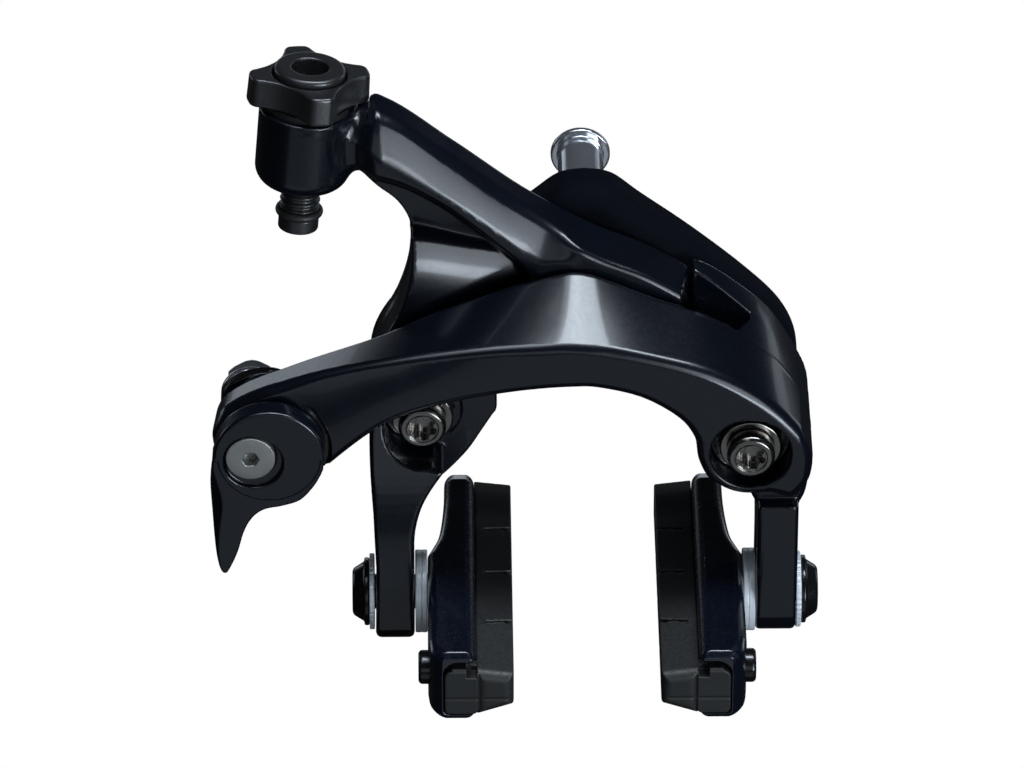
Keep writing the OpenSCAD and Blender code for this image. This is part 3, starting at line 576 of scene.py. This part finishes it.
def upper_arm(x, y, z):
    side = outline(x, z, UPPER_OUT)
    side = join(side, ring(x, z, PL, BOSS), 1.0)
    beam = both(side, behind(y, beam_front, x, z), 0.45)
    web = both(side, behind(y, web_front, x, z), 0.6)
    web = both(web, (z - web_z(x)) * 0.95, 0.9)
    web = both(web, slab(x, -40, 9), 0.4)
    body = join(beam, web, 0.9)
    body = both(body, y - BACK_Y, 0.9)
    body = both(body, below(z, tip_top, x, y), 1.1)
    body = both(body, (x - 17.8 - (y - BACK_Y) * 0.2) * 0.98, 0.4)
    u, v, w = adjuster_frame(x, y, z)
    r = np.hypot(u, v)
    pot = both(r - 7.9, -w, 3.2)
    pot = both(pot, w - 14.0, 0.45)
    body = join(body, pot, 3.0)
    body = cut(body, both(r - 10.2, 14.9 - w, 0.3), 0.3)
    body = cut(body, both(r - 8.0, 14.0 - w, 0.3), 0.3)
    profile = outline(y, z, LEFT_LEG)
    rear = both(both(profile, outline(x, z, LEG_REAR), 1.1), -22.2 - y, 0.5)
    front = both(both(profile, outline(x, z, LEG_FRONT), 1.0), (z - shelf(x)) * 0.72, 0.55)
    body = join(body, join(rear, front, 0.3), 0.6)
    # roller slot and pin, pivot bore and counterbore
    slot = ring(x, z, ROLLER, 3.4)
    slot = join(slot, outline(x, z, [(10.6, 4), (10.6, -2), (17.4, -5), (17.4, 4)]))
    body = cut(body, np.maximum(slot, slab(y, -20.2, -14.3)), 0.15)
    body = cut(body, ring(x, z, ROLLER, 1.27), 0.1)
    body = cut(body, both(ring(x, z, PL, 6.6), y + 22.0, 0.2), 0.35)
    body = cut(body, ring(x, z, PL, BUSH), 0.2)
    body = cut(body, both(r - 3.4, slab(w, -3, 20)), 0.3)
    body = cut(body, both(r - 5.3, 13.0 - w), 0.3)
    body = cut(body, np.maximum(dent(x, y, z), -1.0), 0.5)
    return cut(body, both(reach_slot(y, z), slab(x, -36.5, -28)), 0.3)


# ---- bracket ----------------------------------------------------------------
HALF = smooth([(0, 20.4), (4.5, 19.5), (9.5, 15.4), (18, 8.6), (27, 0.5), (33, -6.2), (35.8, -13),
               (35.4, -19.5), (31, -23.4), (25, -23.8), (19.5, -20), (12, -13.5), (0, -10.5)], 5)


def bracket(x, y, z):
    side = outline(np.abs(x), z, HALF + [(-5, -10.5), (-5, 20.4)])
    body = both(side, -11 - y, 4.2)
    body = both(body, y + 2.5, 1.4)
    body = cut(body, ring(x, z, (0, 0), 3.05), 0.2)
    body = cut(body, both(ring(x, z, (0, 0), 5.6), y + 7, 0.3), 0.4)
    for c in (PR, PL):
        body = cut(body, both(ring(x, z, c, 3.52), y + 3.6), 0.2)
    groove = np.maximum(ring(x, z, PL, 7.4), -ring(x, z, PL, 4.7))
    body = cut(body, both(groove, y + 7.6), 0.2)
    leg = np.maximum(slab(x, -34.4, -32.2), slab(z, -30, -17))
    return cut(body, both(leg, y + 7.6), 0.2)


# ---- quick release lever ----------------------------------------------------
TAIL = smooth([(-61.9, -14.3), (-62.6, -20), (-62.3, -28), (-61.9, -34), (-61.3, -37.2), (-60.6, -38.2),
               (-59.8, -37.6), (-58.3, -34), (-57.1, -29.6), (-55.6, -26.7), (-53.6, -25.1), (-50.6, -24.4),
               (-47.6, -23.2), (-45.4, -20.4), (-44, -17)], 5)
crease_x = line([(-40, -60.9), (-30, -60.5), (-24, -59.9), (-20, -60.6), (-14, -62.4)])


def lever(x, y, z):
    side = join(outline(x, z, TAIL), ring(x, z, LEVER, 9.2), 0.8)
    flank = (crease_x(z) - x) * 0.62 - (y + 38.0) * 0.78
    body = both(side, -38.0 - y, 0.55)
    body = both(body, y + 34.3, 0.4)
    body = both(body, flank, 0.4)
    hub = both(ring(x, z, LEVER, 6.4), slab(y, -35, -21.9), 0.3)
    body = join(body, hub, 0.2)
    # the lower part falls back from the disc by a small step
    step = np.maximum(8.6 - np.hypot(x - LEVER[0], z - LEVER[1]), y + 37.45)
    body = cut(body, np.maximum(step, z + 15), 0.3)
    dish = both(ring(x, z, (ANCHOR[0] + 0.5, ANCHOR[1] - 0.9), 4.9), y + 37.2, 0.4)
    body = cut(body, dish, 0.35)
    body = cut(body, both(ring(x, z, ANCHOR, 4.25), y + 35.4, 0.2), 0.3)
    return cut(body, ring(x, z, ANCHOR, 2.55), 0.1)


# ---- adjuster ---------------------------------------------------------------
def knob(x, y, z):
    u, v, w = adjuster_frame(x, y, z)
    r = np.hypot(u, v)
    lobes = r - 10.0
    for a in range(45, 316, 90):
        t = math.radians(-77 + a)
        lobes = cut(lobes, np.hypot(u - 16.7 * math.cos(t), v - 16.7 * math.sin(t)) - 10.0, 0.9)
    lobes = lobes + (w - 20.2) * 0.04
    body = both(lobes, slab(w, 15.2, 20.2), 0.45)
    body = join(body, both(r - 5.0, slab(w, 13.4, 16)), 0.2)
    body = cut(body, both(r - 6.2, 18.2 - w, 0.2), 0.5)
    return cut(body, r - 3.4)


def barrel(x, y, z):
    u, v, w = adjuster_frame(x, y, z)
    r = np.hypot(u, v)
    thread = 0.42 * (0.5 - 0.5 * np.cos(2 * math.pi * (w + 4.3) / 1.25)) * (w > -4.3) * (w < 13)
    tube = both((r - 3.35 + thread) * 0.8, slab(w, -8.4, 20.2), 0.35)
    tube = cut(tube, both(slab(w, -5.98, -4.42), 2.45 - r), 0.1)
    cap = both(r - 5.9, slab(w, 18.25, 21.3), 0.75)
    body = join(tube, cap, 0.1)
    body = cut(body, both(r - 3.05, 17.3 - w, 0.2), 0.4)
    return cut(body, r - 1.1, 0.1)


# ---- bolts, nuts and washers ------------------------------------------------
def lobed_socket(a, b, size):
    """Outline of a six-lobed socket."""
    r = np.hypot(a, b)
    star = r - size
    for k in range(6):
        t = math.radians(60 * k + 12)
        notch = np.hypot(a - size * 1.02 * math.cos(t), b - size * 1.02 * math.sin(t)) - size * 0.27
        star = cut(star, notch, 0.15)
    return star


def hexagon(a, b, size, turn=0.0):
    """Outline with six flats, each at a distance of size from the middle."""
    best = None
    for k in range(3):
        t = math.radians(60 * k + turn)
        d = np.abs(a * math.cos(t) + b * math.sin(t)) - size
        best = d if best is None else both(best, d, 0.15)
    return best


def pivot_bolt(c, seat):
    def form(x, y, z):
        r = np.hypot(x - c[0], z - c[1])
        head = both(r - 4.0, slab(y, seat - 6.1, seat - 3.1), 0.55)
        shank = both(r - 3.5, slab(y, seat - 3.4, -3.7), 0.3)
        body = join(head, shank)
        body = both(body, (r - 3.45 + (seat - 6.1 - y) * 0.9) * 0.74, 0.15)
        dish = both(r - 2.7, y - (seat - 5.9), 0.15)
        body = cut(body, dish, 0.15)
        return cut(body, both(lobed_socket(x - c[0], z - c[1], 2.35), y - (seat - 3.9)), 0.15)
    return form


def pivot_collar(c, seat):
    def form(x, y, z):
        r = np.hypot(x - c[0], z - c[1])
        body = both(r - 5.2, slab(y, seat - 3.0, seat - 0.08), 0.45)
        groove = np.hypot(r - 5.3, y - (seat - 1.6)) - 0.32
        body = cut(body, groove, 0.1)
        return cut(body, r - 3.52, 0.15)
    return form


def anchor_screw(x, y, z):
    r = np.hypot(x - ANCHOR[0], z - ANCHOR[1])
    head = both(r - 4.1, slab(y, -38.2, -35.42), 0.3)
    crown = -(y + 38.2) + r * r * 0.018 - 0.15
    head = both(head, crown, 0.1)
    shank = both(r - 2.5, slab(y, -36, -13.6), 0.3)
    body = join(head, shank)
    return cut(body, both(hexagon(x - ANCHOR[0], z - ANCHOR[1], 1.25, 30), y + 36.2), 0.18)


def clamp(x, y, z):
    side = join(ring(x, z, ANCHOR, 5.2), ring(x, z, (ANCHOR[0] + 2.5, ANCHOR[1]), 6.0), 1.0)
    body = both(side, slab(y, -21.8, -19.6), 0.35)
    body = cut(body, np.hypot(x - ANCHOR[0] - 3.4, y + 21.8) - 0.85, 0.15)
    return cut(body, ring(x, z, ANCHOR, 2.52), 0.1)


def anchor_nut(x, y, z):
    flange = both(ring(x, z, ANCHOR, 5.2), slab(y, -19.58, -18.4), 0.3)
    nut = hexagon(x - ANCHOR[0], z - ANCHOR[1], 4.0)
    nut = both(nut, slab(y, -18.6, -15.0), 0.2)
    r = np.hypot(x - ANCHOR[0], z - ANCHOR[1])
    nut = both(nut, (r - 4.5 + (y + 15.6) * 0.8) * 0.78, 0.1)
    return cut(join(flange, nut, 0.2), ring(x, z, ANCHOR, 2.52), 0.2)


def sunk_nut(x, y, z):
    r = np.hypot(x, z)
    body = both(r - 3.9, slab(y, 15, 31.6), 0.3)
    body = join(body, both(r - 5.1, slab(y, 31.2, 32.35), 0.35), 0.15)
    body = join(body, both(r - 4.5, slab(y, 32.0, 33.0), 0.3), 0.15)
    body = cut(body, both(r - 2.95, y - 26), 0.2)
    return cut(body, both(hexagon(x, z, 2.55), 26.5 - y), 0.25)


def mounting_bolt(x, y, z):
    r = np.hypot(x, z)
    head = both(r - 5.0, slab(y, -10.8, -7.02), 0.5)
    thread = 0.25 * (0.5 - 0.5 * np.cos(2 * math.pi * y)) * (y > 16)
    shank = both((r - 2.9 + thread) * 0.85, slab(y, -8, 24), 0.3)
    plain = both(r - 3.0, slab(y, 0.3, 14.8), 0.05)
    body = join(join(head, shank), plain)
    return cut(body, both(hexagon(x, z, 2.5), y + 8.4), 0.2)


def grip_washer(x, y, z):
    r = np.hypot(x, z)
    a = np.arctan2(z, x)
    teeth = 0.28 * (0.5 - 0.5 * np.cos(a * 24))
    body = both(r - 7.6 + teeth * (y < 0.1), slab(y, -2.48, 0), 0.2)
    return cut(body, r - 3.1, 0.2)


def shoe_bolt(x, y, z):
    r = np.hypot(y - SHOE_Y, z - SHOE_Z)
    body = both(r - 2.95, slab(x, 22.8, 37.5), 0.3)
    flange = both(r - 5.75, slab(x, 36.42, 37.3), 0.3)
    dome = both((r - 5.15 + (x - 37.2) * 0.62) * 0.85, slab(x, 36.6, 39.3), 0.5)
    body = join(body, join(flange, dome, 0.25))
    return cut(body, both(hexagon(y - SHOE_Y, z - SHOE_Z, 2.0), 36.6 - x), 0.2)


def plain_washer(x, y, z):
    r = np.hypot(y - SHOE_Y, z - SHOE_Z)
    ridges = 0.05 * np.cos(np.arctan2(z - SHOE_Z, y - SHOE_Y) * 40)
    return cut(both(r - 6.4 + ridges, slab(x, 35.55, 36.4), 0.15), r - SHOE_BORE, 0.1)


def domed(x, y, z, hollow):
    r = np.hypot(y - SHOE_Y, z - SHOE_Z)
    bulge = 28.68 - 1.1 - 0.5 * (1 - r * r / 49)
    if hollow:
        body = both(both(r - 7.0, 26.62 - x, 0.25), x - bulge + 0.02, 0.1)
    else:
        body = both(both(r - 7.0, x - 28.68, 0.25), bulge - x, 0.1)
    return cut(body, r - SHOE_BORE, 0.15)


def pad_screw(x, y, z):
    r = np.hypot(y - PAD_SCREW[0], z - PAD_SCREW[1])
    head = both(r - 2.85, slab(x, 25.62, 28.2), 0.7)
    body = join(head, both(r - 1.4, slab(x, 21.8, 27), 0.1))
    return cut(body, both(hexagon(y - PAD_SCREW[0], z - PAD_SCREW[1], 1.05), 27.2 - x), 0.15)


# ---- brake shoes ------------------------------------------------------------
HOLDER_PLAN = ([(18.62, -0.8)]
               + smooth([(22.6, -0.8), (23.6, -2.2), (23.8, -10), (24.2, -16), (24.8, -20.5), (25.8, -23.6),
                         (26.58, -25.6)], 4)
               + smooth([(26.58, -50.2), (26.2, -53), (24.9, -55.2), (24.5, -56)], 4) + [(18.62, -56)])
HOLDER_SIDE = [(-0.7, -46), (-2, -43.4), (-5, -42.2), (-54.4, -42.2), (-55.6, -43), (-56, -44.6),
               (-56, -54.8), (-54.6, -55.9), (-5, -55.8), (-1.5, -54.6), (-0.7, -52)]


def holder(x, y, z):
    plan = outline(x, y, HOLDER_PLAN)
    body = both(plan, outline(y, z, HOLDER_SIDE), 1.9)
    # pad channel, wider at the bottom, open at the front
    body = cut(body, np.maximum(slab(x, 16, 21.9), np.maximum(slab(z, -52.6, -46.2), y + 3.1)), 0.15)
    body = cut(body, np.maximum(slab(x, 20.1, 22.75), np.maximum(slab(z, -53.8, -45.0), y + 3.1)), 0.15)
    # the front end is open and shows the pad's end block
    mouth = both(both(x - 24.0, z + 43.9, 2.6), -54.7 - z, 1.2)
    body = cut(body, both(mouth, y + 51.2, 0.2), 0.3)
    bore = ring(y, z, (SHOE_Y, SHOE_Z), 3.0)
    body = cut(body, np.maximum(bore, 20 - x), 0.3)
    body = cut(body, np.maximum(ring(y, z, PAD_SCREW, 1.52), 20 - x), 0.1)
    return cut(body, np.maximum(ring(y, z, PAD_SCREW, 2.95), 25.6 - x), 0.25)


def pad(x, y, z):
    # rim block with its long edges eased
    top_z = -46.6 + (x - 12.3) * 0.127
    low_z = -52.8 - (x - 12.3) * 0.35
    block = both(np.maximum(z - top_z, (low_z - z) * 0.94), slab(x, 12.3, 18.6), 0.3)
    block = both(block, y + 0.6, 0.35)
    block = both(block, -55.6 - y, 1.7)
    rail = both(np.maximum(slab(x, 18.4, 20.2), slab(z, -52.4, -46.4)), slab(y, -55.4, -3.4), 0.2)
    foot = both(np.maximum(slab(x, 20.15, 22.6), slab(z, -53.6, -45.2)), slab(y, -55.4, -3.4), 0.2)
    body = join(block, join(rail, foot), 0.15)
    # end block that fills the holder's mouth
    end = both(both(slab(x, 18.2, 23.85), -54.4 - z, 1.0), z + 45.6, 1.4)
    end = both(end, slab(y, -55.6, -51.8), 0.3)
    body = join(body, end, 0.2)
    # bottom chamfer, the line across the end, and the small notch beside the rail
    body = both(body, (-z - 54.6 + (18.2 - x) * 0.3 - (y + 55.6) * 0.25) * 0.9, 0.2)
    seam = np.hypot(y + 55.7, z + 51.2) - 0.28
    body = cut(body, seam, 0.1)
    notch = np.maximum(np.maximum(slab(x, 18.5, 20.2), slab(z, -46.9, -43)), slab(y, -56, -53.2))
    body = cut(body, notch, 0.15)
    # slanted cross grooves on the side that meets the rim and over the top
    for y0 in (-13.5, -26.0, -40.0):
        d = (y - y0) * 0.978 + (x - 12.3) * 0.208
        groove = np.maximum(np.abs(d) - 0.42, np.minimum(x - 13.6, -(z - top_z + 0.55)))
        groove = np.maximum(groove, x - 17.0)
        body = cut(body, groove, 0.12)
    # bore for the end of the pad's screw
    return cut(body, np.maximum(ring(y, z, PAD_SCREW, 1.45), 21.6 - x), 0.1)


# ---- build ------------------------------------------------------------------
FINE, COARSE = 0.16, 0.45
build("front_arm_forged", skin(front_arm, (-64, -37.5, -57.5), (39, -11, 14.5), COARSE), "front_arm",
      ["front_arm"], GLOSS)
build("upper_arm_forged", skin(upper_arm, (-57, -37, -57.5), (19, -5, 45), COARSE), "upper_arm",
      ["upper_arm"], GLOSS)
build("fork_bracket", skin(bracket, (-38, -12, -26), (38, -1.5, 22), COARSE), "bracket", ["mount_bracket"],
      BRACKET)
build("release_lever", skin(lever, (-64, -39, -40), (-42, -21, -4), 0.3), "qr_lever", ["qr_lever"], GLOSS)
build("adjuster_knob_moulded", skin(knob, (-57.5, -25.5, 38), (-34, -1.5, 49), 0.3), "adjuster_knob",
      ["adjuster_knob"], KNOB)
build("adjuster_barrel_turned", skin(barrel, (-54.5, -23, 16), (-38.5, -6, 49), 0.22), "adjuster_barrel",
      ["adjuster_barrel"], KNOB)
for side, c, seat in (("right", PR, -31.0), ("left", PL, -22.0)):
    home = frame["nodes"][f"{side}_pivot_bolt"]["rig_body"]
    collar_home = frame["nodes"][f"{side}_pivot_collar"]["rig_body"]
    lo, hi = (c[0] - 6, seat - 7, c[1] - 6), (c[0] + 6, -3, c[1] + 6)
    build(f"{side}_pivot_bolt_turned", skin(pivot_bolt(c, seat), lo, hi, FINE), home, [f"{side}_pivot_bolt"],
          STEEL)
    hi = (c[0] + 6, seat + 1, c[1] + 6)
    build(f"{side}_pivot_collar_turned", skin(pivot_collar(c, seat), lo, hi, FINE), collar_home,
          [f"{side}_pivot_collar"], STEEL)
build("anchor_screw", skin(anchor_screw, (-61, -39, -19), (-51, -13, -9.5), FINE), "qr_lever",
      ["anchor_bolt"], ANCHOR_STEEL)
build("cable_clamp", skin(clamp, (-63, -22.5, -21), (-49, -19, -7.5), FINE), "qr_lever", ["clamp_plate"],
      BLACK_BOLT)
build("anchor_nut_turned", skin(anchor_nut, (-62, -20.5, -20.5), (-50, -14, -8.5), FINE), "qr_lever",
      ["anchor_nut"], SILVER)
build("sunk_nut_turned", skin(sunk_nut, (-6, 14, -6), (6, 34, 6), 0.2), "sunk_nut", ["sunk_nut"], SILVER)
build("mounting_bolt_turned", skin(mounting_bolt, (-6, -11.5, -6), (6, 25, 6), 0.2), "bracket",
      ["mounting_bolt"], SATIN)
build("grip_washer", skin(grip_washer, (-8.5, -3, -8.5), (8.5, 0.6, 8.5), 0.2), "bracket",
      ["serrated_washer"], SATIN)

shoe_pieces = [
    ("shoe_holder", "holder_cast", holder, (17.5, -57, -57), (27.6, 0.5, -41), 0.3, HOLDER, "holder_blue"),
    ("brake_pad", "pad_moulded", pad, (11.5, -56.5, -56.5), (24.6, 0.2, -44), 0.25, RUBBER, "pad_rubber"),
    ("pad_screw", "pad_screw_turned", pad_screw, (21.2, -53, -52.5), (29, -46, -45.5), FINE, BLACK_BOLT,
     "bolt_black"),
    ("shoe_bolt", "shoe_bolt_turned", shoe_bolt, (22.2, -34.5, -55.5), (40, -21.5, -42.5), FINE, BLACK_BOLT,
     "bolt_black"),
    ("outer_washer", "outer_washer_turned", plain_washer, (35, -35, -56), (37, -21, -42), FINE, SATIN,
     "washer_silver"),
    ("convex_washer", "convex_washer_turned", lambda x, y, z: domed(x, y, z, False), (26.6, -35.6, -56.6),
     (29.2, -20.4, -41.4), 0.2, SATIN, "washer_silver"),
    ("concave_washer", "concave_washer_turned", lambda x, y, z: domed(x, y, z, True), (26, -35.6, -56.6),
     (28.6, -20.4, -41.4), 0.2, SATIN, "washer_silver"),
]
for node, name, form, lo, hi, cell, material, slot in shoe_pieces:
    skinned = skin(form, lo, hi, cell)
    for side in ("right", "left"):
        home = frame["nodes"][f"{side}_{node}"]["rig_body"]
        build(f"{side}_{name}", skinned, home, [f"{side}_{node}"], material, mirror=side == "left")

# CAD pieces that are shown as they are, with a material of this scene
KEPT = {
    "right_thrust_washer": SATIN, "left_thrust_washer": SATIN, "right_pivot_bush": BRONZE,
    "left_pivot_bush": BRONZE, "return_spring": SATIN, "spring_slider": NYLON, "centering_screw": SILVER,
    "sync_roller": STEEL, "roller_pin": SATIN, "adjuster_o_ring": RUBBER, "adjuster_seal": NYLON,
}
for node, material in KEPT.items():
    obj = frame["nodes"][node]
    obj.data.materials.clear()
    obj.data.materials.append(material)

# ---- stage, light and camera --------------------------------------------------
def plain(name, color, strength):
    m = bpy.data.materials.new(name)
    m.use_nodes = True
    m.node_tree.nodes.clear()
    glow = m.node_tree.nodes.new("ShaderNodeEmission")
    glow.inputs[0].default_value = (*color, 1)
    glow.inputs[1].default_value = strength
    out = m.node_tree.nodes.new("ShaderNodeOutputMaterial")
    m.node_tree.links.new(glow.outputs[0], out.inputs[0])
    return m


floor_mesh = bpy.data.meshes.new("floor")
FLOOR_HALF, FLOOR_Z = 30.0, -0.4
corners = [(-FLOOR_HALF, -FLOOR_HALF), (FLOOR_HALF, -FLOOR_HALF), (FLOOR_HALF, FLOOR_HALF),
           (-FLOOR_HALF, FLOOR_HALF)]
floor_mesh.from_pydata([(*corner, FLOOR_Z) for corner in corners], [], [(0, 1, 2, 3)])
floor = bpy.data.objects.new("floor", floor_mesh)
bpy.context.scene.collection.objects.link(floor)
floor_mesh.materials.append(plain("floor_white", (1, 1, 1), 1.0))
floor.visible_glossy = False
floor.visible_diffuse = False

world = bpy.data.worlds.new("studio")
bpy.context.scene.world = world
world.use_nodes = True
world.node_tree.nodes["Background"].inputs[0].default_value = (0.55, 0.58, 0.63, 1)
world.node_tree.nodes["Background"].inputs[1].default_value = 0.022

COOL = (0.80, 0.90, 1.0)
AIM = Vector((-0.012, -0.02, -0.005))


def softbox(name, direction, distance, width, height, radiance):
    """A soft lamp that shines at the caliper from a direction; lengths in metres."""
    d = Vector(direction).normalized()
    data = bpy.data.lights.new(name, "AREA")
    data.shape = "RECTANGLE"
    data.size, data.size_y = width, height
    data.energy = radiance * width * height * math.pi
    data.color = COOL
    obj = bpy.data.objects.new(name, data)
    obj.location = AIM + d * distance
    obj.rotation_mode = "QUATERNION"
    obj.rotation_quaternion = d.to_track_quat("Z", "Y")
    obj.visible_camera = False
    bpy.context.scene.collection.objects.link(obj)


def toward(azimuth, elevation):
    """Azimuth 0 is the front and 90 the right, in degrees."""
    a, e = math.radians(azimuth), math.radians(elevation)
    return (math.sin(a) * math.cos(e), -math.cos(a) * math.cos(e), math.sin(e))


softbox("top_strip", (0.29, -0.02, 1.0), 0.8, 0.2, 0.5, 15)
softbox("top_glow", (-0.08, -0.05, 1.0), 0.85, 0.26, 0.42, 3.6)
softbox("top_wide", (-0.25, -0.22, 1.0), 0.9, 0.5, 0.4, 1.8)
softbox("key_rim", toward(37, 1), 0.9, 0.5, 0.16, 15)
softbox("key_wide", toward(38, 18), 1.0, 0.6, 0.3, 3.2)
softbox("front_low", toward(-4, -34), 1.1, 1.5, 0.7, 0.28)
softbox("back_low", toward(180, -4), 1.2, 1.5, 0.32, 0.9)
softbox("back_left", toward(-125, -2), 1.2, 0.5, 0.3, 1.2)
softbox("back_right", toward(125, -2), 1.2, 0.5, 0.3, 1.2)
softbox("front_high", toward(-10, 12), 1.25, 1.3, 0.5, 0.5)

ELEVATION, SWING = math.radians(35.0), math.radians(-0.6)
DISTANCE = 1.4
TARGET = Vector((-0.0123, -0.025, -0.0085))
back = Vector((math.sin(SWING) * math.cos(ELEVATION), -math.cos(SWING) * math.cos(ELEVATION),
               math.sin(ELEVATION)))
right = Vector((math.cos(SWING), math.sin(SWING), 0))
up = back.cross(right)
camera = bpy.data.cameras.new("camera")
camera.sensor_width = 36.0
camera.lens = 295.3125
camera.clip_start, camera.clip_end = 0.05, 100
camera_object = bpy.data.objects.new("camera", camera)
camera_object.matrix_world = Matrix((
    (right.x, up.x, back.x, 0), (right.y, up.y, back.y, 0), (right.z, up.z, back.z, 0), (0, 0, 0, 1)))
camera_object.location = TARGET + back * DISTANCE
bpy.context.scene.collection.objects.link(camera_object)
bpy.context.scene.camera = camera_object
bpy.context.scene.view_settings.view_transform = "Standard"
